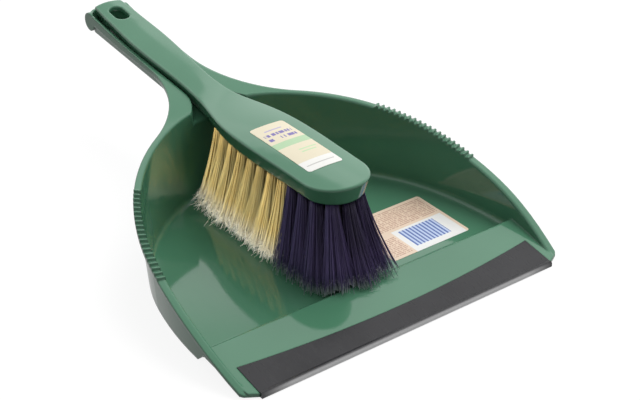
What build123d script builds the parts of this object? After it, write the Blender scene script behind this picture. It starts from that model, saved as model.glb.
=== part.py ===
"""Dust pan and brush set.

A moulded pan with a rubber lip, and a tufted hand brush whose handle lies in the pan's channel handle.
X runs across the set and +Y from the lip to the handle. Lengths along Y are counted from the lip's edge,
and heights from the surface that the pan stands on. The finished pieces are then moved so that the origin
is under the middle of the set. All sizes are in millimetres.
"""

from build123d import *
from math import atan, cos, radians, sin, sqrt
import os

# Whole set
overall_length = 331.4
tall = 100.0
wide = 150.0
spare = 20.0

# Pan rim, seen from above: straight handle, hollow shoulder, round corner, flat-curved side
handle_half = 15.2
handle_end_half = 14.6
handle_end = 325.2
neck_y = 248.0
shoulder_radius = 78.9
shoulder_turn = 57.4
corner_radius = 134.8
corner_turn = 44.5
side_radius = 224.5
side_turn = 23.4
front_run = 14.0

# Pan rim, seen from the side: height and edge depth along the set
rim_profile = [(-6, -3), (6, 2.4), (46, 20.5), (94, 35.8), (150, 50.4), (200, 59.6), (228, 62.9),
               (330, 76.0)]
rim_edge_depth = [1.8, 1.8, 1.8, 1.8, 1.8, 1.8, 2.6, 6.0]
rim_round = 1.5

# Well: walls that lean out, floor, ridge and ramp
wall = 2.0
wall_lean = 0.079
rim_to_well = 7.8
back_turn = 26.0
bend_ease = 1.5
well_side_radius = 235.0
well_side_turn = 22.9
floor_top = 2.5
cove_radius = 3.0
cove_steps = 3
cove_start = 45.0
ridge_y = 42.7
ridge_z = 8.9
step_foot = 50.0
ramp_rise = 0.157
ramp_thick = 2.2
ridge_round = 1.6
ridge_under = 1.3
step_under = 1.8
section_front = -6.0
section_back = 350.0

# Rubber lip
lip_half = 103.0
lip_depth = 23.2
lip_bow = 6.4
lip_flap = 1.2
lip_proud = 0.25
lip_nose = 3.2
bead_radius = 1.6
corner_tip = (110.8, 5.6)
tip_front = 1.6

# Comb teeth on the rim
comb_start = 49.7
comb_pitch = 3.56
comb_count = 20
tooth_height = 1.5
tooth_foot = 0.2
tooth_sink = 1.4
tooth_length = 8.0
tooth_overhang = 0.6
tooth_fall = 0.12
tooth_back = 1.75
tooth_front = 1.35
tooth_top = 0.8

# Channel in the pan's handle
channel_y = 205.0
channel_z = 52.2
channel_slope = 0.1009
channel_half = 11.1
channel_lean = 0.209
channel_wall = 1.6
channel_floor = 2.2
channel_back = 326.0
channel_corner = 4.0
channel_taper = 1.3
mouth_y = 214.0
mouth_radius = 30.0
mouth_turn = 40.0
mouth_run = 16.0
channel_tall = 30.0
throat_round = 2.0
end_radius = 6.2
end_z = 69.2

# Hanging hole through both handles
hole_y = 310.2
hole_length = 16.6
hole_width = 9.8
pan_hole_extra = 1.5
pocket_extra = 3.0
pocket_skin = 3.2
hole_round = 0.8

# Brush body, seen from above at its reference height
brush_level = 63.5
brush_lean = 0.29
nose_radius = 21.4
nose_y = 76.2
brush_side = [(22.1, 118), (19.0, 166), (13.3, 190), (10.4, 216), (10.4, 246), (10.2, 276), (7.9, 308)]
brush_end = 322.6
brush_end_half = 6.0
brush_end_bulge = 1.6
brush_end_round = 2.0
low_level = 53.0
high_level = 84.0

# Brush body, seen from the side: height of the crown at even steps along the set
crown_first = 45.0
crown_step = 29.0
crown_heights = [64.7, 65.35, 65.65, 65.55, 64.6, 63.6, 65.75, 69.45, 73.2, 76.95, 80.7]
crown_radius = 140.0
crown_half = 32.0
crown_base = 40.0
block_bottom = 53.5
handle_gap = 0.5
top_round = 1.1

# Tufts
tuft_pitch = 10.2
outer_first = 65.0
inner_first = 70.1
outer_count = 12
inner_count = 10
outer_row_x = 13.2
inner_share = 0.34
row_middle = 121.5
row_reach = 63.5
row_power = 6
nose_tuft_y = 62.6
dark_outer = 98.0
dark_inner = 88.0
tuft_hole_radius = 2.5
tuft_hole_depth = 8.0
tuft_gap = 0.1
strand_grid = 1.15
strand_root = 0.85
strand_tip = 1.5
strand_seat = 0.8
strands_across = 3
fan_middle = 121.7
fan_front = 1.33
fan_back = 1.04
fan_across = 1.6
fan_in_tuft = 3.0
bristle_lean = -3.0
tip_gap = 0.45

# Metal anchors that pin the folded tufts
anchor_length = 5.6
anchor_thick = 0.5
anchor_height = 2.4

# Labels
label_thick = 0.15
label_gap = 0.02
pan_label_box = (30.0, 56.0, 88.7, 105.0)
brush_label_half = 12.0
brush_label_y = (82.0, 142.0)
label_round = 2.0


def side_on(face, half=wide):
    """A face drawn in the side view, stretched to both sides of the middle plane."""
    return extrude(Plane.YZ * face, half, both=True)


def outline_face(right_side, height=0.0):
    """A level face from the edges of its right-hand side and their mirror images."""
    left_side = [mirror(edge, about=Plane.YZ) for edge in right_side]
    first, last = right_side[0] @ 0, right_side[-1] @ 1
    edges = right_side + left_side
    for point in (first, last):
        if abs(point.X) > 0.001:
            edges.append(Line(point, Vector(-point.X, point.Y, point.Z)))
    return Pos(0, 0, height) * make_face(edges)


def next_arc(edge, radius, turn):
    """An arc that goes on from an edge without a kink."""
    return JernArc(edge @ 1, edge % 1, radius, turn)


def rim_side():
    """Right-hand edge of the pan's rim: handle, shoulder, corner and side."""
    handle = Line((handle_end_half, handle_end), (handle_half, neck_y))
    shoulder = JernArc((handle_half, neck_y), (0, -1), shoulder_radius, shoulder_turn)
    corner = next_arc(shoulder, corner_radius, -corner_turn)
    side = next_arc(corner, side_radius, -side_turn)
    front = Line(side @ 1, side @ 1 + (side % 1) * front_run)
    return handle, shoulder, corner, side, front


def well_outline(grow, height):
    """The well seen from above, grown evenly outwards."""
    corner = rim_side()[2]
    inner = corner_radius - rim_to_well
    middle = corner.arc_center
    back_radius = inner + middle.X / sin(radians(back_turn))
    back_y = middle.Y + inner * cos(radians(back_turn)) + back_radius * (1 - cos(radians(back_turn)))
    back = JernArc((0, back_y + grow), (1, 0), back_radius + grow, -back_turn)
    bend = next_arc(back, inner + grow, back_turn - (90 - shoulder_turn) - corner_turn + bend_ease)
    side = next_arc(bend, well_side_radius + grow, -well_side_turn)
    front = Line(side @ 1, side @ 1 + (side % 1) * front_run)
    return outline_face([back, bend, side, front], height)


def well_space(grow=0.0):
    """The room inside the well's leaning walls, and on below the ground."""
    low = well_outline(grow - wall_lean * spare, -spare)
    high = well_outline(grow + wall_lean * tall, tall)
    return loft([low, high], ruled=True)


def ramp_top(y):
    return ridge_z + ramp_rise * (y - ridge_y)


def below_profile(points):
    """Everything under a smooth line drawn in the side view."""
    low_back = (points[-1][0], -2 * spare)
    low_front = (points[0][0], -2 * spare)
    return side_on(make_face([Spline(*points), Polyline(points[-1], low_back, low_front, points[0])]))


def floor_section():
    """Side view of the ramp, the ridge, the step and the floor."""
    under_ridge = ridge_y - ridge_under
    points = [
        (section_front, ramp_top(section_front)),
        (ridge_y, ridge_z),
        (step_foot, floor_top),
        (section_back, floor_top),
        (section_back, 0),
        (step_foot - step_under, 0),
        (under_ridge, ramp_top(under_ridge) - ramp_thick),
        (section_front, ramp_top(section_front) - ramp_thick),
    ]
    face = make_face(Polyline(*points, close=True))
    bends = [v for v in face.vertices() if section_front + 1 < v.X < section_back - 1]
    return fillet(bends, ridge_round)


def above_underside():
    """The floor's section and everything above it."""
    points = [
        (section_front, ramp_top(section_front)),
        (ridge_y, ridge_z - ramp_thick / 2),
        (step_foot, floor_top / 2),
        (section_back, floor_top / 2),
        (section_back, tall),
        (section_front, tall),
    ]
    return side_on(floor_section()) + side_on(make_face(Polyline(*points, close=True)))


def front_trim():
    """Plan of the pan's front: straight behind the lip, drawn back at the corner tips."""
    right = [
        Line((0, lip_nose), (lip_half, lip_nose)),
        Line((lip_half, lip_nose), (lip_half, tip_front)),
        Line((lip_half, tip_front), corner_tip),
        Line(corner_tip, (wide, step_foot)),
        Line((wide, step_foot), (wide, overall_length + spare)),
    ]
    return Pos(0, 0, -spare) * extrude(outline_face(right), tall + 2 * spare)


def channel_plane(lift=0.0):
    tilt = atan(channel_slope)
    up = Vector(0, -sin(tilt), cos(tilt))
    return Plane(origin=Vector(0, channel_y, channel_z) + up * lift, x_dir=(1, 0, 0), z_dir=up)


def channel_outline(grow):
    """Plan of the channel in its own tilted plane: closed back corners, straight sides, flared mouth."""
    half = channel_half + grow
    radius = channel_corner + grow
    back = (channel_back - channel_y) * sqrt(1 + channel_slope**2) + grow
    end = Line((0, back), (half - radius, back))
    corner = JernArc(end @ 1, end % 1, radius, -90)
    side = Line(corner @ 1, (half - channel_taper, mouth_y - channel_y))
    flare = JernArc(side @ 1, (0, -1), mouth_radius - grow, mouth_turn)
    run = Line(flare @ 1, flare @ 1 + (flare % 1) * mouth_run)
    return outline_face([end, corner, side, flare, run])


def channel_space(grow=0.0, drop=0.0):
    """The room inside the channel, or its outer form when grown and dropped."""
    low = channel_plane(-drop) * channel_outline(grow - channel_lean * drop)
    high = channel_plane(channel_tall) * channel_outline(grow + channel_lean * channel_tall)
    return loft([low, high], ruled=True)


def is_throat(edge):
    """True for an edge where the channel's floor drops into the well."""
    level = [abs(channel_plane().to_local_coords(edge @ share).Z) < 0.01 for share in (0, 0.5, 1)]
    return all(level) and edge.geom_type == GeomType.ELLIPSE


def is_rim_inside(edge):
    """True for an edge where the rim's top turns down into the well."""
    middle = edge @ 0.5
    inside = edge.length > rim_round and abs(middle.Z - rim_height(middle.Y)) < 0.05
    return inside and well_space().distance_to(Vertex(*(middle - (0, 0, wall)))) < wall / 4


def hanging_hole(extra=0.0):
    slot = SlotOverall(hole_length + extra, hole_width + extra, rotation=90)
    return Pos(0, hole_y, low_level) * extrude(slot, tall)


def round_end():
    """The thick rounded end of the pan's handle."""
    return side_on(Pos(handle_end, end_z) * Circle(end_radius), handle_end_half)


def rim_height(y):
    """Height of the rim's edge at one place along the set."""
    edge = Spline(*rim_profile)
    low, high = 0.0, 1.0
    for halving in range(30):
        middle = (low + high) / 2
        low, high = (middle, high) if (edge @ middle).X < y else (low, middle)
    return (edge @ low).Y


def comb_teeth():
    """Sloped teeth across both rims, for combing fluff off the brush. Their ends are left long."""
    corner, side = rim_side()[2:4]
    section = [(-tooth_back, -tooth_sink), (tooth_front, -tooth_sink), (tooth_front, -tooth_foot)]
    section += [(tooth_top, tooth_height), (0, tooth_height), (-tooth_back, -tooth_foot)]
    teeth = []
    for number in range(comb_count):
        along = comb_start + (comb_count - 0.5 - number) * comb_pitch
        edge, along = (corner, along) if along < corner.length else (side, along - corner.length)
        place = edge.position_at(along / edge.length)
        run = edge.tangent_at(along / edge.length)
        rise = rim_height(place.Y + 1) - rim_height(place.Y)
        inwards = Vector(run.Y, -run.X, -tooth_fall)
        start = Vector(place.X, place.Y, rim_height(place.Y)) - inwards * tooth_overhang
        across = Plane(origin=start, x_dir=Vector(run.X, run.Y, run.Y * rise), z_dir=Vector(run.Y, -run.X, 0))
        tooth = extrude(across * make_face(Polyline(*section, close=True)), tooth_length, dir=inwards)
        teeth += [tooth, mirror(tooth, about=Plane.YZ)]
    return teeth


def rubber_lip():
    """Soft strip along the pan's front: a blunt bead, a nose and a flap laid in the ramp, with a bowed back."""
    bead_y = bead_radius
    points = [
        (bead_y, ramp_top(bead_y) + lip_proud),
        (lip_depth, ramp_top(lip_depth) + lip_proud),
        (lip_depth, ramp_top(lip_depth) - lip_flap),
        (lip_nose, ramp_top(lip_nose) - lip_flap),
        (lip_nose, ramp_top(lip_nose) - ramp_thick),
        (bead_y, ramp_top(bead_y) - ramp_thick),
    ]
    section = make_face(Polyline(*points, close=True)) + Pos(bead_y, bead_radius) * Circle(bead_radius)
    section += Pos(bead_y / 2, bead_radius / 2) * Rectangle(bead_y, bead_radius)
    back = ThreePointArc((-lip_half, lip_depth), (0, lip_depth - lip_bow), (lip_half, lip_depth))
    corners = [(wide, lip_depth), (wide, -spare), (-wide, -spare), (-wide, lip_depth)]
    plan = make_face([back, Polyline(back @ 1, *corners, back @ 0)])
    return side_on(section, lip_half) & Pos(0, 0, -spare) * extrude(plan, 2 * spare)


def floor_cove():
    """The hollow cove that runs round the foot of the well's walls."""
    sections = []
    for step in range(cove_steps + 1):
        turn = radians(90 * step / cove_steps)
        height = floor_top + cove_radius * (1 - cos(turn))
        sections.append(well_outline(wall_lean * height - cove_radius * (1 - sin(turn)), height))
    slab = Box(2 * wide, 2 * tall, cove_radius, align=(Align.CENTER, Align.MIN, Align.MIN))
    return (well_space() & Pos(0, cove_start, floor_top) * slab) - loft(sections, ruled=True)


def pan_shell():
    """One moulding: floor, walls, toothed rim, channel handle and its rounded end."""
    outside = well_space(wall)
    channel = channel_space()
    top = below_profile(rim_profile)
    under_rim = below_profile([(y, z - depth) for (y, z), depth in zip(rim_profile, rim_edge_depth)])
    plan = extrude(outline_face(list(rim_side()), -spare), tall + spare)
    rim = (plan & top) - under_rim
    handle = channel_space(channel_wall, channel_floor) & top
    well = well_space()
    body = ((outside & top) + rim + handle) - well - channel
    body = fillet([edge for edge in body.edges() if is_throat(edge)], throat_round)
    body = fillet([edge for edge in body.edges() if is_rim_inside(edge)], rim_round)
    body = (body & above_underside() & front_trim()) + [(tooth & plan) - well for tooth in comb_teeth()]
    floor = side_on(floor_section()) & outside & front_trim()
    shell = body + floor + floor_cove() + (round_end() - channel)
    return shell - hanging_hole(pan_hole_extra) - rubber_lip()


def brush_outline(height):
    """The brush seen from above at one height, with a round nose and a waisted handle."""
    grow = brush_lean * (height - brush_level)
    end_y = brush_end + grow
    nose = CenterArc((0, nose_y), nose_radius + grow, -90, 90)
    points = [nose @ 1] + [(x + grow, y) for x, y in brush_side]
    side = Spline(*points, tangents=[(0, 1), (-0.06, 1)])
    end_corner = (brush_end_half + grow, end_y - brush_end_bulge)
    end = ThreePointArc(end_corner, (end_corner[0] / 2, end_y - brush_end_bulge / 4), (0, end_y))
    face = outline_face([nose, side, Line(side @ 1, end_corner), end], height)
    corners = [v for v in face.vertices() if abs(v.Y - end_corner[1]) < 0.01]
    return fillet(corners, brush_end_round)


def under_crown(lift=0.0):
    """Everything under the brush's crowned top."""
    drop = crown_radius - sqrt(crown_radius**2 - crown_half**2)
    sections = []
    for number, height in enumerate(crown_heights):
        top = height + lift
        arc = ThreePointArc((-crown_half, top - drop), (0, top), (crown_half, top - drop))
        foot = [(crown_half, crown_base), (-crown_half, crown_base)]
        rest = Polyline(arc @ 1, *foot, arc @ 0)
        place = (0, crown_first + number * crown_step, 0)
        sections.append(Plane(origin=place, x_dir=(1, 0, 0), z_dir=(0, -1, 0)) * make_face([arc, rest]))
    return loft(sections)


def tuft_places():
    """Roots of the tufts: two outer rows, two staggered inner rows and one at the nose."""
    places = [(0.0, nose_tuft_y)]
    for first, count, share in ((outer_first, outer_count, 1.0), (inner_first, inner_count, inner_share)):
        for number in range(count):
            y = first + number * tuft_pitch
            x = share * outer_row_x * sqrt(1 - ((y - row_middle) / row_reach) ** row_power)
            places += [(-x, y), (x, y)]
    return places


def tuft_anchor(x, y):
    """The metal pin across the bottom of a tuft's hole."""
    top = block_bottom + tuft_hole_depth
    return Pos(x, y, top - anchor_height / 2) * Box(anchor_length, anchor_thick, anchor_height)


def brush_underside():
    """Everything under the block's flat underside and the handle's sloped one."""
    bend = channel_y + (block_bottom - channel_z - handle_gap) / channel_slope
    back = overall_length + spare
    back_z = block_bottom + (back - bend) * channel_slope
    points = [(0, 0), (0, block_bottom), (bend, block_bottom), (back, back_z), (back, 0)]
    return side_on(make_face(Polyline(*points, close=True)))


def brush_solid():
    """The brush's outer form, before any holes."""
    form = loft([brush_outline(low_level), brush_outline(high_level)], ruled=True) & under_crown()
    return form - brush_underside()


def is_hole_rim(edge):
    """True for an edge round the top or bottom of the hanging hole."""
    box = edge.bounding_box()
    inside = max(abs(box.min.X), abs(box.max.X)) < hole_width / 2 + 0.01
    near = abs(edge.center().Y - hole_y) < hole_length / 2
    return inside and near and box.size.Z < hole_width / 2


def brush_block():
    """One moulding: tufted block and handle, with a hanging hole that widens under the handle's skin."""
    body = brush_solid()
    crown = body.faces().filter_by(lambda face: face.normal_at().Z > 0.9)[0]
    body = fillet(crown.edges(), top_round) - hanging_hole()
    hole_edges = [edge for edge in body.edges() if is_hole_rim(edge)]
    body = fillet(hole_edges, hole_round)
    holes = [hanging_hole(pocket_extra) & under_crown(-pocket_skin)]
    for x, y in tuft_places():
        place = Pos(x, y, block_bottom + tuft_hole_depth / 2)
        holes.append(place * Cylinder(tuft_hole_radius, tuft_hole_depth))
        holes.append(tuft_anchor(x, y))
    return body - holes


def ground(y):
    """Height of the pan's floor, step or ramp under a bristle tip."""
    if y < ridge_y:
        return ramp_top(y)
    if y < step_foot:
        return ridge_z + (floor_top - ridge_z) * (y - ridge_y) / (step_foot - ridge_y)
    return floor_top + label_thick


def strand(x, y, across, along):
    """One four-sided strand, from its root in the tuft to its tip just over the pan."""
    fan = fan_front if y < fan_middle else fan_back
    tip_x = fan_across * x + bristle_lean + fan_in_tuft * across
    tip_y = fan_middle + fan * (y - fan_middle) + fan_in_tuft * along
    tip_z = max(ground(tip_y - strand_tip), ground(tip_y + strand_tip)) + tip_gap
    root = Pos(x + across, y + along, block_bottom + strand_seat) * Rectangle(strand_root, strand_root)
    tip = Pos(tip_x, tip_y, tip_z) * Rectangle(strand_tip, strand_tip)
    return loft([root, tip], ruled=True)


def tuft(x, y):
    """A folded bundle of bristles: a round root in its hole and a fan of strands."""
    height = tuft_hole_depth - tuft_gap
    root = Pos(x, y, block_bottom + height / 2) * Cylinder(tuft_hole_radius - tuft_gap, height)
    offsets = [(number - (strands_across - 1) / 2) * strand_grid for number in range(strands_across)]
    strands = [strand(x, y, across, along) for across in offsets for along in offsets]
    return root.fuse(*strands) - tuft_anchor(x, y)


def pan_label():
    """Sticker on the well's floor."""
    x0, y0, x1, y1 = pan_label_box
    plan = Pos((x0 + x1) / 2, (y0 + y1) / 2) * RectangleRounded(x1 - x0, y1 - y0, label_round)
    return Pos(0, 0, floor_top) * extrude(plan, label_thick)


def brush_label():
    """Sticker that follows the crown of the brush."""
    y0, y1 = brush_label_y
    plan = Pos(0, (y0 + y1) / 2) * RectangleRounded(2 * brush_label_half, y1 - y0, label_round)
    return (extrude(plan, tall) & under_crown(label_gap + label_thick)) - under_crown(label_gap)


def build():
    """Every piece of the set, by name."""
    pieces = {
        "pan_shell": pan_shell(),
        "rubber_lip": rubber_lip(),
        "pan_label": pan_label(),
        "brush_block": brush_block(),
        "brush_label": brush_label(),
        "tuft_anchors": Compound([tuft_anchor(x, y).solid() for x, y in tuft_places()]),
    }
    counts = {"cream": 0, "dark": 0}
    for x, y in tuft_places():
        dark_until = dark_inner if abs(x) < outer_row_x / 2 else dark_outer
        colour = "dark" if y < dark_until else "cream"
        counts[colour] += 1
        pieces[f"{colour}_tuft_{counts[colour]:02d}"] = tuft(x, y)
    return pieces


def main():
    os.makedirs("parts", exist_ok=True)
    to_origin = Pos(0, -overall_length / 2, 0)
    for name, piece in build().items():
        export_step(to_origin * piece, f"parts/{name}.step")


if __name__ == "__main__":
    main()
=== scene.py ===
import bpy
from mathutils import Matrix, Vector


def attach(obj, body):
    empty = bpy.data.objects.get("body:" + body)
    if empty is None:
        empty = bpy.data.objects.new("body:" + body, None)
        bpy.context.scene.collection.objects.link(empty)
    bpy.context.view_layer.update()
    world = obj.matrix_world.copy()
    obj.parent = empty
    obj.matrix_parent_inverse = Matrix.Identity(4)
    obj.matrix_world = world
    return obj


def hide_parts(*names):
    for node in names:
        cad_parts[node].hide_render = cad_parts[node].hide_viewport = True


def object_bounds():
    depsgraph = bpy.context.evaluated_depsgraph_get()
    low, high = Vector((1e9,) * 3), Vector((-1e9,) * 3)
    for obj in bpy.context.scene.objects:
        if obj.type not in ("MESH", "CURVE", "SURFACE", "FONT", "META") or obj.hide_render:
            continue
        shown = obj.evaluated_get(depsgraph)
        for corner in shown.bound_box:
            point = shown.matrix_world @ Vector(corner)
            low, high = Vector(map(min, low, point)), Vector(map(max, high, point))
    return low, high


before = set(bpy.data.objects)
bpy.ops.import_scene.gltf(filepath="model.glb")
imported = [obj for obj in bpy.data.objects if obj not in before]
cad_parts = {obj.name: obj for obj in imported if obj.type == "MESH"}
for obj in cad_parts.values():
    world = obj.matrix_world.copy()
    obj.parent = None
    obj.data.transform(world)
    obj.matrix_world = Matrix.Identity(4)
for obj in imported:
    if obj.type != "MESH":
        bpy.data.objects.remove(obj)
cad_box = [list(corner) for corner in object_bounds()]

# Dust pan and brush set. Lengths are in metres. The origin is on the ground under the middle of the set,
# and +Y runs from the rubber lip to the end of the handle.

import random
from math import cos, pi, radians, sin, sqrt

import bpy
from mathutils import Matrix, Vector

random.seed(11)
MM = 0.001
lip_y = cad_box[0][1]

# Camera, as in the photograph
camera_place = Vector((-0.4519, lip_y - 0.5161, 0.4948))
camera_azimuth = radians(-36.79)
camera_elevation = radians(31.09)
camera_lens = 86.2

# Pan under and round the bristle tips: ramp, ridge, step, floor and the foot of the back wall
ridge_y = lip_y + 42.7 * MM
ridge_z = 8.9 * MM
step_foot_y = lip_y + 50.0 * MM
floor_z = 2.7 * MM
ramp_rise = 0.157
back_limit_y = lip_y + 183.4 * MM

# Tuft roots in the underside of the brush
block_bottom = 53.5 * MM
tuft_pitch = 10.2 * MM
outer_first_y = lip_y + 65.0 * MM
inner_first_y = lip_y + 70.1 * MM
outer_count = 12
inner_count = 10
outer_row_x = 13.2 * MM
inner_share = 0.34
row_middle_y = lip_y + 121.5 * MM
row_reach = 63.5 * MM
row_power = 6
nose_tuft_y = lip_y + 62.6 * MM
dark_outer_y = lip_y + 98.0 * MM
dark_inner_y = lip_y + 88.0 * MM

# How the bristles fan out from their roots
cream_radius = 2.5 * MM
dark_radius = 3.2 * MM
root_sink = 1.0 * MM
fan_middle_y = lip_y + 121.7 * MM
fan_front = 1.33
fan_back = 1.04
fan_across = 1.6
fan_in_tuft = 3.0
bristle_lean = -3.0 * MM
bow_share = 0.62
tip_gap = 0.5 * MM
tip_jitter = 1.0 * MM
tip_rise = 4.0 * MM
tip_reach = 1.0 * MM

# Strands of a tuft, and the frayed hairs near their tips
cream_strands = 150
dark_strands = 210
strand_sides = 3
strand_rings = 5
strand_tip_share = 0.55
strand_radius = 0.28 * MM
hair_rings = 2
hair_tip_share = 0.4
hair_radius = 0.13 * MM
hair_length = 7.0 * MM
cream_hairs = 3
dark_hairs = 1
dark_hair_share = 0.4
hair_start = 0.9
hair_forward = 0.5
hair_stray = 0.42
hair_dip = -0.2
hair_lift = 0.9

# Shade of the strands: a random tone for each tuft and each strand, and painted shade that darkens the inner
# rows and the strands where two tufts of a row meet
tuft_tones = 0.5
strand_tones = 0.5
inner_row_painted_shade = 0.9
tuft_side_painted_shade = 1.1

# Colour and shine along a bristle, where 0 is its root and 1 its tip
middle_reached = 0.45
tip_lift_range = (0.5, 0.95)
shade_range = (-1.0, 1.0)
brightness_range = (0.36, 1.12)
bristle_gloss = (0.38, 0.55)

# Painted reflection of the white ground along the bead of the rubber lip, as a pale band: where it starts,
# and where it is full
painted_reflection_y = (lip_y + 1.4 * MM, lip_y + 0.5 * MM)
painted_reflection_z = (3.2 * MM, 1.9 * MM)
painted_reflection_x = (102.0 * MM, 84.0 * MM)
painted_reflection_share = (0.1, 0.95)

# Pale floor
floor_size = 8.0
floor_drop = 0.3 * MM
floor_grey = (0.16, 0.16, 0.16, 1.0)
floor_glow = 0.88
floor_mirrored = 0.65

# Studio room. Each pair runs from the camera's side to the far side, or from low to high.
white = (1.0, 1.0, 1.0, 1.0)
room_range = (-0.6, 0.5)
lit_levels = (0.15, 0.62)
mirrored_levels = (0.6, 0.9)
wall_level = 0.8
wall_range = (0.0, 0.35)
wall_foot = (0.455, 0.49)
wall_foot_levels = (0.65, 1.0)
wall_gap_height = 0.63
wall_gap_edge = (0.04, 0.06)
wall_top = (0.76, 0.9)

# Sockets of a Mix node that mixes colours
mix_first = 6
mix_second = 7
mix_result = 2


def srgb(red, green, blue):
    """A colour given as 0 to 255 screen values, as linear light with full alpha."""
    def linear(value):
        value = value / 255
        return value / 12.92 if value <= 0.04045 else ((value + 0.055) / 1.055) ** 2.4
    return (linear(red), linear(green), linear(blue), 1.0)


def feed(tree, socket, value):
    """Links a socket to another, or sets its value."""
    if isinstance(value, bpy.types.NodeSocket):
        tree.links.new(value, socket)
    else:
        socket.default_value = value


def put(tree, kind, settings=None, **sockets):
    """Adds a shader node, with its settings and its inputs by name."""
    node = tree.nodes.new("ShaderNode" + kind)
    for name, value in (settings or {}).items():
        setattr(node, name, value)
    for name, value in sockets.items():
        feed(tree, node.inputs[name.replace("_", " ")], value)
    return node


def maths(tree, operation, first, second=0.0):
    """A Math node's result."""
    node = put(tree, "Math", {"operation": operation})
    for socket, value in zip(node.inputs, (first, second)):
        feed(tree, socket, value)
    return node.outputs[0]


def mix_colour(tree, factor, first, second):
    """Two colours mixed by a factor."""
    node = put(tree, "Mix", {"data_type": "RGBA"})
    feed(tree, node.inputs[0], factor)
    feed(tree, node.inputs[mix_first], first)
    feed(tree, node.inputs[mix_second], second)
    return node.outputs[mix_result]


def spread(tree, value, low, high, to_low=0.0, to_high=1.0):
    """A value moved from one range to another, kept inside it."""
    node = put(tree, "MapRange", Value=value, From_Min=low, From_Max=high, To_Min=to_low, To_Max=to_high)
    return node.outputs["Result"]


def start_group(name, inputs, outputs):
    """An empty shader node group with float inputs, one Place input and float outputs."""
    group = bpy.data.node_groups.new(name, "ShaderNodeTree")
    group.interface.new_socket("Place", in_out="INPUT", socket_type="NodeSocketVector")
    for label, value in inputs.items():
        socket = group.interface.new_socket(label, in_out="INPUT", socket_type="NodeSocketFloat")
        socket.default_value = value
    for label in outputs:
        group.interface.new_socket(label, in_out="OUTPUT", socket_type="NodeSocketFloat")
    entry = group.nodes.new("NodeGroupInput")
    leave = group.nodes.new("NodeGroupOutput")
    return group, entry, leave


def use_group(tree, group, place, **values):
    """A node group placed in a material, with its own values."""
    node = put(tree, "Group", {"node_tree": group})
    feed(tree, node.inputs["Place"], place)
    for name, value in values.items():
        feed(tree, node.inputs[name.replace("_", " ")], value)
    return node.outputs


def moulded_surface_group():
    """Faint flow shading, uneven polish and fine relief, as plastic, rubber, paper and steel have."""
    inputs = {"Flow": 18.0, "Grain": 900.0}
    group, entry, leave = start_group("moulded_surface", inputs, ["Tint", "Polish", "Relief"])
    place = entry.outputs["Place"]
    flow = put(group, "TexNoise", Vector=place, Scale=entry.outputs["Flow"], Detail=3.0, Roughness=0.5)
    stretch = put(group, "Mapping", Vector=place, Scale=(6.0, 1.0, 3.0))
    streak = put(group, "TexNoise", Vector=stretch.outputs[0], Scale=90.0, Detail=4.0, Roughness=0.6)
    grain = put(group, "TexNoise", Vector=place, Scale=entry.outputs["Grain"], Detail=2.0, Roughness=0.6)
    feed(group, leave.inputs["Tint"], spread(group, flow.outputs[0], 0.3, 0.7))
    feed(group, leave.inputs["Polish"], spread(group, streak.outputs[0], 0.35, 0.75))
    feed(group, leave.inputs["Relief"], grain.outputs[0])
    return group


def printed_bar_group():
    """A printed bar between two X and two Y values."""
    inputs = {"Left": 0, "Right": 0, "Front": 0, "Back": 0}
    group, entry, leave = start_group("printed_bar", inputs, ["Mask"])
    parts = put(group, "SeparateXYZ", Vector=entry.outputs["Place"])
    mask = maths(group, "GREATER_THAN", parts.outputs["X"], entry.outputs["Left"])
    tests = ("X", "LESS_THAN", "Right"), ("Y", "GREATER_THAN", "Front"), ("Y", "LESS_THAN", "Back")
    for axis, test, edge in tests:
        inside = maths(group, test, parts.outputs[axis], entry.outputs[edge])
        mask = maths(group, "MULTIPLY", mask, inside)
    feed(group, leave.inputs["Mask"], mask)
    return group


def printed_rows_group():
    """Rows of broken dashes, in the place of small print. The shift keeps one row from repeating the next."""
    row_shift = 7.3
    inputs = {"Pitch": 0.002, "Fill": 0.4, "Dash": 700.0, "Cover": 0.45}
    group, entry, leave = start_group("printed_rows", inputs, ["Mask"])
    parts = put(group, "SeparateXYZ", Vector=entry.outputs["Place"])
    row = maths(group, "DIVIDE", parts.outputs["Y"], entry.outputs["Pitch"])
    line = maths(group, "LESS_THAN", maths(group, "FRACT", row), entry.outputs["Fill"])
    step = maths(group, "FLOOR", row)
    along = maths(group, "MULTIPLY", parts.outputs["X"], entry.outputs["Dash"])
    spot = put(group, "CombineXYZ", X=along, Y=maths(group, "MULTIPLY", step, row_shift))
    dash = put(group, "TexNoise", {"noise_dimensions": "2D"}, Vector=spot.outputs[0], Scale=1.0, Detail=1.0)
    broken = maths(group, "GREATER_THAN", dash.outputs[0], entry.outputs["Cover"])
    feed(group, leave.inputs["Mask"], maths(group, "MULTIPLY", line, broken))
    return group


moulded_surface = moulded_surface_group()
printed_bar = printed_bar_group()
printed_rows = printed_rows_group()


def start_material(name):
    """A new material, its node tree and its shader."""
    material = bpy.data.materials.new(name)
    material.use_nodes = True
    tree = material.node_tree
    return material, tree, tree.nodes["Principled BSDF"]


def object_place(tree):
    """Place on the object, in metres."""
    return put(tree, "TexCoord").outputs["Object"]


def set_gloss(tree, shader, surface, smooth, rough):
    """Roughness between two values, as the polish changes."""
    feed(tree, shader.inputs["Roughness"], spread(tree, surface["Polish"], 0.0, 1.0, smooth, rough))


def set_relief(tree, shader, surface, edge_radius, strength):
    """Softened edges, with the fine relief over them."""
    edges = put(tree, "Bevel", {"samples": 6}, Radius=edge_radius).outputs[0]
    relief = surface["Relief"]
    bump = put(tree, "Bump", Strength=strength, Distance=0.2 * MM, Height=relief, Normal=edges)
    feed(tree, shader.inputs["Normal"], bump.outputs[0])


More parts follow.
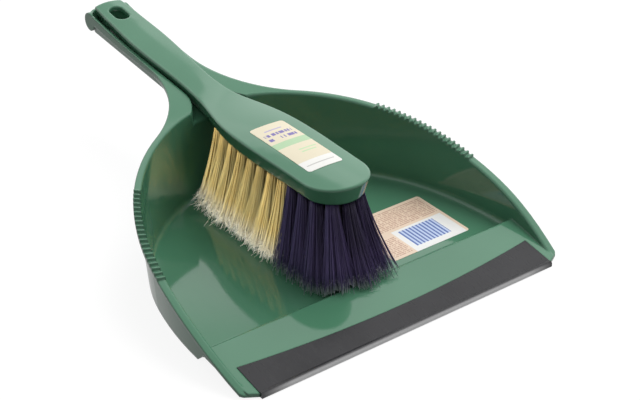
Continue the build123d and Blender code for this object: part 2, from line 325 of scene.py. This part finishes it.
def green_plastic():
    """Deep green, glossy moulded plastic with softened edges."""
    material, tree, shader = start_material("green_plastic")
    surface = use_group(tree, moulded_surface, object_place(tree), Flow=14.0, Grain=1400.0)
    colour = mix_colour(tree, surface["Tint"], srgb(74, 124, 97), srgb(80, 130, 103))
    feed(tree, shader.inputs["Base Color"], colour)
    set_gloss(tree, shader, surface, smooth=0.04, rough=0.08)
    shader.inputs["IOR"].default_value = 1.5
    set_relief(tree, shader, surface, edge_radius=1.6 * MM, strength=0.03)
    return material


def black_rubber():
    """Charcoal rubber, satin, with a dusty grain and a pale band along its bead, painted as the reflection of
    the white ground.
    """
    material, tree, shader = start_material("black_rubber")
    place = object_place(tree)
    surface = use_group(tree, moulded_surface, place, Flow=40.0, Grain=2200.0)
    colour = mix_colour(tree, surface["Tint"], srgb(31, 31, 34), srgb(39, 39, 42))
    parts = put(tree, "SeparateXYZ", Vector=place).outputs
    # The pale band along the bead is a painted reflection of the white ground.
    front = spread(tree, parts["Y"], *painted_reflection_y)
    low = spread(tree, parts["Z"], *painted_reflection_z)
    middle = spread(tree, maths(tree, "ABSOLUTE", parts["X"]), *painted_reflection_x, *painted_reflection_share)
    painted_reflection = maths(tree, "MULTIPLY", maths(tree, "MULTIPLY", front, low), middle)
    colour = mix_colour(tree, painted_reflection, colour, srgb(246, 246, 247))
    feed(tree, shader.inputs["Base Color"], colour)
    set_gloss(tree, shader, surface, smooth=0.26, rough=0.36)
    shader.inputs["Specular IOR Level"].default_value = 0.35
    set_relief(tree, shader, surface, edge_radius=0.4 * MM, strength=0.06)
    return material


def bristle(name, root, middle, tip, tip_start, glow):
    """Bristles that change colour from root to tip, each strand a little different. Glow is the share of the
    light that comes through."""
    material, tree, shader = start_material(name)
    along = put(tree, "Attribute", {"attribute_name": "along"}).outputs["Fac"]
    shade = put(tree, "Attribute", {"attribute_name": "shade"}).outputs["Fac"]
    colour = mix_colour(tree, spread(tree, along, 0.0, middle_reached), root, middle)
    colour = mix_colour(tree, spread(tree, along, tip_start, 1.0), colour, tip)
    tone_and_shade = put(tree, "HueSaturation", Color=colour)
    # The shade attribute darkens each strand by its random tone and by painted shade; toward the tip this
    # darkening is lifted back to full.
    level = spread(tree, shade, *shade_range, *brightness_range)
    missing = maths(tree, "SUBTRACT", 1.0, level)
    lift = maths(tree, "MULTIPLY", spread(tree, along, *tip_lift_range), missing)
    feed(tree, tone_and_shade.inputs["Value"], maths(tree, "ADD", level, lift))
    feed(tree, shader.inputs["Base Color"], tone_and_shade.outputs[0])
    feed(tree, shader.inputs["Roughness"], spread(tree, shade, 0.0, 1.0, *bristle_gloss))
    if glow > 0:
        through = put(tree, "BsdfTranslucent", Color=tone_and_shade.outputs[0])
        both = put(tree, "MixShader", Fac=glow)
        tree.links.new(shader.outputs[0], both.inputs[1])
        tree.links.new(through.outputs[0], both.inputs[2])
        tree.links.new(both.outputs[0], tree.nodes["Material Output"].inputs["Surface"])
    return material


def anchor_steel():
    """Plain drawn steel strip."""
    material, tree, shader = start_material("anchor_steel")
    surface = use_group(tree, moulded_surface, object_place(tree), Flow=60.0, Grain=3000.0)
    colour = mix_colour(tree, surface["Tint"], srgb(170, 170, 174), srgb(198, 198, 202))
    feed(tree, shader.inputs["Base Color"], colour)
    set_gloss(tree, shader, surface, smooth=0.3, rough=0.45)
    shader.inputs["Metallic"].default_value = 1.0
    return material


def bar_mask(tree, place, left, right, front, back):
    """Mask of a printed bar, with its edges in millimetres from the middle line and from the lip."""
    edges = {"Left": left * MM, "Right": right * MM, "Front": lip_y + front * MM, "Back": lip_y + back * MM}
    return use_group(tree, printed_bar, place, **edges)["Mask"]


def print_bars(tree, place, colour, bars):
    """Lays printed bars, each with its ink and its four edges, over a ground colour."""
    for ink, left, right, front, back in bars:
        colour = mix_colour(tree, bar_mask(tree, place, left, right, front, back), colour, ink)
    return colour


def finish_paper(tree, shader, place, colour):
    """Satin varnished paper, with a faint fibre."""
    surface = use_group(tree, moulded_surface, place, Flow=50.0, Grain=2600.0)
    fibre = srgb(150, 120, 90)
    fibre_share = 0.06
    aged = mix_colour(tree, maths(tree, "MULTIPLY", surface["Tint"], fibre_share), colour, fibre)
    feed(tree, shader.inputs["Base Color"], aged)
    set_gloss(tree, shader, surface, smooth=0.3, rough=0.42)
    bump = put(tree, "Bump", Strength=0.08, Distance=0.1 * MM, Height=surface["Relief"])
    feed(tree, shader.inputs["Normal"], bump.outputs[0])


def brush_label_paper():
    """Cream sticker with plain bands and two rows of violet marks."""
    material, tree, shader = start_material("brush_label_paper")
    place = object_place(tree)
    cream = srgb(223, 214, 188)
    violet = srgb(112, 102, 168)
    lilac = srgb(176, 166, 200)
    leaf = srgb(172, 204, 164)
    lime = srgb(186, 214, 168)
    off_white = srgb(232, 232, 228)
    grey = srgb(190, 190, 186)
    bars = [
        (off_white, -13, 13, 82, 93),
        (grey, -9.5, 9.5, 87.2, 88.2),
        (leaf, -12, 12, 112.5, 119.0),
        (lime, -2, 10, 105.0, 106.2),
        (lime, -2, 8, 102.0, 103.2),
        (lilac, -6, 6, 134.0, 135.2),
    ]
    colour = print_bars(tree, place, cream, bars)
    marks = use_group(tree, printed_rows, place, Pitch=5.4 * MM, Fill=0.55, Dash=520.0, Cover=0.44)["Mask"]
    field = bar_mask(tree, place, left=-9.5, right=9.5, front=120.5, back=132.0)
    colour = mix_colour(tree, maths(tree, "MULTIPLY", marks, field), colour, violet)
    finish_paper(tree, shader, place, colour)
    return material


def pan_label_paper():
    """Beige sticker with rows of small marks, and a white panel of plain blue stripes."""
    material, tree, shader = start_material("pan_label_paper")
    place = object_place(tree)
    beige = srgb(236, 214, 192)
    brown = srgb(196, 158, 138)
    off_white = srgb(240, 240, 238)
    pale_blue = srgb(200, 214, 240)
    blue = srgb(84, 110, 178)
    stripe_pitch = 2.6 * MM
    stripe_share = 0.45
    rows = use_group(tree, printed_rows, place, Pitch=1.6 * MM, Fill=0.5, Dash=900.0, Cover=0.42)["Mask"]
    field = bar_mask(tree, place, left=32.5, right=87, front=83.5, back=103)
    side = bar_mask(tree, place, left=33, right=46.5, front=58.5, back=77)
    printed = maths(tree, "MULTIPLY", rows, maths(tree, "MAXIMUM", field, side))
    colour = mix_colour(tree, printed, beige, brown)
    panel = bar_mask(tree, place, left=48, right=86.5, front=55, back=81.5)
    colour = mix_colour(tree, panel, colour, off_white)
    parts = put(tree, "SeparateXYZ", Vector=place)
    stripe = maths(tree, "FRACT", maths(tree, "DIVIDE", parts.outputs["X"], stripe_pitch))
    stripe = maths(tree, "LESS_THAN", stripe, stripe_share)
    striped = bar_mask(tree, place, left=51.8, right=78.5, front=61, back=79.5)
    colour = mix_colour(tree, striped, colour, pale_blue)
    colour = mix_colour(tree, maths(tree, "MULTIPLY", stripe, striped), colour, blue)
    finish_paper(tree, shader, place, colour)
    return material


def ground(y):
    """Height of the pan under a bristle tip."""
    if y < ridge_y:
        return ridge_z + ramp_rise * (y - ridge_y)
    if y < step_foot_y:
        return ridge_z + (floor_z - ridge_z) * (y - ridge_y) / (step_foot_y - ridge_y)
    return floor_z


def lowest_tip(y):
    """Lowest height of a bristle tip, clear of the pan to both sides of it."""
    return max(ground(y - tip_reach), ground(y + tip_reach)) + tip_gap


def tuft_places():
    """Roots of the tufts: one at the nose, two outer rows and two staggered inner rows."""
    places = [(0.0, nose_tuft_y)]
    rows = (outer_first_y, outer_count, 1.0), (inner_first_y, inner_count, inner_share)
    for first, count, share in rows:
        for number in range(count):
            y = first + number * tuft_pitch
            x = share * outer_row_x * sqrt(1 - ((y - row_middle_y) / row_reach) ** row_power)
            places += [(-x, y), (x, y)]
    return places


def strand_model(sides, rings, tip_share):
    """One tapered strand of unit length and radius, cut into rings, as points and faces."""
    bpy.ops.object.select_all(action="DESELECT")
    bpy.ops.mesh.primitive_cone_add(
        vertices=sides, radius1=1.0, radius2=tip_share, depth=1.0, location=(0, 0, 0.5))
    strand = bpy.context.object
    bpy.ops.object.transform_apply(location=True, rotation=True, scale=True)
    bpy.ops.object.mode_set(mode="EDIT")
    for ring in range(1, rings):
        bpy.ops.mesh.select_all(action="SELECT")
        bpy.ops.mesh.bisect(plane_co=(0, 0, ring / rings), plane_no=(0, 0, 1))
    bpy.ops.object.mode_set(mode="OBJECT")
    points = [vertex.co.copy() for vertex in strand.data.vertices]
    faces = [tuple(face.vertices) for face in strand.data.polygons]
    bpy.data.objects.remove(strand)
    return points, faces


def on_bow(root, control, tip, t):
    """A point along a strand's bow."""
    return root * (1 - t) ** 2 + control * 2 * t * (1 - t) + tip * t**2


class Tuft:
    """Strands gathered into one mesh."""

    def __init__(self):
        self.points = []
        self.faces = []
        self.along = []
        self.shade = []

    def add(self, model, root, control, tip, radius, start, shade):
        """Lays a copy of a strand along a bow. start is where its colour begins, from root to tip."""
        points, faces = model
        first = len(self.points)
        run = (tip - root).normalized()
        side = run.orthogonal().normalized()
        other = run.cross(side)
        for point in points:
            spot = on_bow(root, control, tip, point.z)
            self.points.append(spot + (side * point.x + other * point.y) * radius)
            self.along.append(start + (1 - start) * point.z)
            self.shade.append(shade)
        self.faces += [tuple(first + corner for corner in face) for face in faces]

    def piece(self, name, material):
        """The gathered strands as an object."""
        mesh = bpy.data.meshes.new(name)
        mesh.from_pydata(self.points, [], self.faces)
        for label, values in (("along", self.along), ("shade", self.shade)):
            mesh.attributes.new(label, "FLOAT", "POINT").data.foreach_set("value", values)
        mesh.materials.append(material)
        mesh.shade_smooth()
        piece = bpy.data.objects.new(name, mesh)
        bpy.context.scene.collection.objects.link(piece)
        return piece


def strand_line(x, y, across, along):
    """Root, bow and tip of one strand of a tuft."""
    fan = fan_front if y < fan_middle_y else fan_back
    tip_x = fan_across * x + bristle_lean + fan_in_tuft * across + random.gauss(0, tip_jitter)
    tip_y = fan_middle_y + fan * (y - fan_middle_y) + fan_in_tuft * along + random.gauss(0, tip_jitter)
    tip_y = min(tip_y, back_limit_y)
    tip_z = lowest_tip(tip_y) + tip_rise * random.random() ** 2
    root = Vector((x + across, y + along, block_bottom + root_sink))
    tip = Vector((tip_x, tip_y, tip_z))
    middle = root.lerp(tip, 0.5)
    bow = Vector((root.x, root.y, middle.z)).lerp(middle, bow_share)
    return root, bow, tip


def build_tuft(name, node, x, y, dark, models, material):
    """A full tuft of fine bristles with frayed tips, in the place of its plain form."""
    strand, hair = models
    tuft = Tuft()
    tone = random.uniform(0.0, tuft_tones)
    # Tufts of the inner rows are painted darker, as shade from the outer rows.
    if abs(x) < outer_row_x / 2:
        tone -= inner_row_painted_shade
    for number in range(dark_strands if dark else cream_strands):
        turn = random.uniform(0, 2 * pi)
        share = sqrt(random.random())
        reach = share * (dark_radius if dark else cream_radius)
        root, bow, tip = strand_line(x, y, reach * cos(turn), reach * sin(turn))
        # Strands at a tuft's sides, where it meets the next tuft of its row, are painted darker as shade
        # between tufts.
        shade = tone + random.uniform(0.0, strand_tones) - tuft_side_painted_shade * (share * sin(turn)) ** 2
        tuft.add(strand, root, bow, tip, strand_radius, 0.0, shade)
        split = on_bow(root, bow, tip, hair_start)
        length = hair_length * (dark_hair_share if dark else 1.0)
        for fork in range(dark_hairs if dark else cream_hairs):
            stray = Vector((random.gauss(0, 1), random.gauss(0, 1), random.uniform(hair_dip, hair_lift)))
            end = split + (tip - bow).normalized() * length * hair_forward + stray * length * hair_stray
            end.y = min(end.y, back_limit_y)
            end.z = max(end.z, lowest_tip(end.y))
            tuft.add(hair, split, split.lerp(end, 0.5), end, hair_radius, hair_start, shade)
    piece = tuft.piece(name, material)
    if not dark:
        cream_tufts.objects.link(piece)
    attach(piece, "brush")
    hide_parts(node)


def build_tufts():
    """Every tuft of the brush, cream at the back and dark at the nose."""
    # The root colours, darker than the middle ones, are painted shade under the block.
    cream_colours = srgb(214, 186, 108), srgb(238, 221, 156), srgb(254, 252, 244)
    # The dark bristles' near-white tip colour is frayed ends, and partly a painted highlight on them.
    dark_colours = srgb(80, 67, 113), srgb(99, 84, 134), srgb(224, 221, 230)
    cream = bristle("cream_bristle", *cream_colours, tip_start=0.7, glow=0.5)
    dark = bristle("dark_bristle", *dark_colours, tip_start=0.93, glow=0.0)
    strand = strand_model(strand_sides, strand_rings, strand_tip_share)
    hair = strand_model(strand_sides, hair_rings, hair_tip_share)
    counts = {"cream": 0, "dark": 0}
    for x, y in tuft_places():
        is_dark = y < (dark_inner_y if abs(x) < outer_row_x / 2 else dark_outer_y)
        kind = "dark" if is_dark else "cream"
        counts[kind] += 1
        name = f"{kind}_bristles_{counts[kind]:02d}"
        node = f"{kind}_tuft_{counts[kind]:02d}"
        build_tuft(name, node, x, y, is_dark, (strand, hair), dark if is_dark else cream)


def paint(node, material):
    """Gives a CAD node its material."""
    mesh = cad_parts[node].data
    mesh.materials.clear()
    mesh.materials.append(material)


def build_floor():
    """Plain pale ground that keeps the set's shadow."""
    bpy.ops.object.select_all(action="DESELECT")
    bpy.ops.mesh.primitive_plane_add(size=floor_size, location=(0, 0, -floor_drop))
    floor = bpy.context.object
    floor.name = "floor"
    material, tree, shader = start_material("pale_floor")
    shader.inputs["Base Color"].default_value = floor_grey
    shader.inputs["Roughness"].default_value = 0.9
    shader.inputs["Specular IOR Level"].default_value = 0.0
    rays = put(tree, "LightPath")
    mirrored = maths(tree, "MULTIPLY", rays.outputs["Is Glossy Ray"], floor_mirrored)
    seen = maths(tree, "MAXIMUM", rays.outputs["Is Camera Ray"], mirrored)
    seen = maths(tree, "MAXIMUM", seen, rays.outputs["Is Transmission Ray"])
    shader.inputs["Emission Color"].default_value = white
    feed(tree, shader.inputs["Emission Strength"], maths(tree, "MULTIPLY", seen, floor_glow))
    floor.data.materials.append(material)


def build_world():
    """Soft studio room, dimmer on the camera's side. Gloss also mirrors a bright wall on the far side, in two
    panels with a dim gap between them."""
    world = bpy.data.worlds.new("studio")
    bpy.context.scene.world = world
    world.use_nodes = True
    tree = world.node_tree
    back = tree.nodes["Background"]
    way = put(tree, "SeparateXYZ", Vector=put(tree, "TexCoord").outputs["Generated"])
    forward = maths(tree, "MULTIPLY", way.outputs["Y"], cos(camera_azimuth))
    sideways = maths(tree, "MULTIPLY", way.outputs["X"], -sin(camera_azimuth))
    behind = maths(tree, "ADD", forward, sideways)
    away = maths(tree, "ADD", behind, way.outputs["Z"])
    rays = put(tree, "LightPath")
    lit = spread(tree, away, *room_range, *lit_levels)
    height = way.outputs["Z"]
    foot = spread(tree, height, *wall_foot, *wall_foot_levels)
    gap = maths(tree, "ABSOLUTE", maths(tree, "SUBTRACT", height, wall_gap_height))
    panels = maths(tree, "MULTIPLY", foot, spread(tree, gap, *wall_gap_edge))
    panels = maths(tree, "MULTIPLY", panels, spread(tree, height, *wall_top, 1.0, 0.0))
    wall = maths(tree, "MULTIPLY", spread(tree, behind, *wall_range), panels)
    room = spread(tree, away, *room_range, *mirrored_levels)
    mirrored = maths(tree, "ADD", room, maths(tree, "MULTIPLY", wall, wall_level))
    glossy = maths(tree, "MULTIPLY", rays.outputs["Is Glossy Ray"], mirrored)
    diffuse = maths(tree, "MULTIPLY", rays.outputs["Is Diffuse Ray"], lit)
    level = maths(tree, "ADD", glossy, diffuse)
    shown = maths(tree, "MAXIMUM", rays.outputs["Is Camera Ray"], rays.outputs["Is Transmission Ray"])
    feed(tree, back.inputs["Strength"], maths(tree, "ADD", level, shown))
    back.inputs["Color"].default_value = white


def build_lamp(name, place, size, watts):
    """A square soft lamp aimed at the set."""
    bpy.ops.object.select_all(action="DESELECT")
    bpy.ops.object.light_add(type="AREA", location=place)
    lamp = bpy.context.object
    lamp.name = name
    lamp.data.size = size
    lamp.data.energy = watts
    lamp.rotation_euler = Vector(place).to_track_quat("Z", "Y").to_euler()
    return lamp


def build_camera():
    """Camera at the photograph's place."""
    flat = cos(camera_elevation)
    back = Vector((sin(camera_azimuth) * flat, -cos(camera_azimuth) * flat, sin(camera_elevation)))
    right = (-back).cross(Vector((0, 0, 1))).normalized()
    up = right.cross(-back)
    turn = Matrix((right, up, back)).transposed().to_4x4()
    camera = bpy.data.cameras.new("camera")
    camera.lens = camera_lens
    eye = bpy.data.objects.new("camera", camera)
    eye.matrix_world = Matrix.Translation(camera_place) @ turn
    bpy.context.scene.collection.objects.link(eye)
    bpy.context.scene.camera = eye


# The cream tufts, which alone take the light of the fill lamp
cream_tufts = bpy.data.collections.new("pale_bristles")

green = green_plastic()
paint("pan_shell", green)
paint("brush_block", green)
paint("rubber_lip", black_rubber())
paint("brush_label", brush_label_paper())
paint("pan_label", pan_label_paper())
paint("tuft_anchors", anchor_steel())
build_tufts()
build_floor()
build_world()
key_lamp = build_lamp("key_lamp", place=(1.11, 0.35, 1.63), size=1.4, watts=33.5)
key_lamp.visible_glossy = False
front_lamp = build_lamp("front_lamp", place=(0.45, -1.15, 0.45), size=0.6, watts=1.2)
front_lamp.visible_glossy = False
bristle_fill = build_lamp("bristle_fill", place=(-0.72, -0.32, 0.78), size=0.5, watts=20.5)
bristle_fill.light_linking.receiver_collection = cream_tufts
build_camera()
bpy.context.scene.view_settings.view_transform = "Standard"
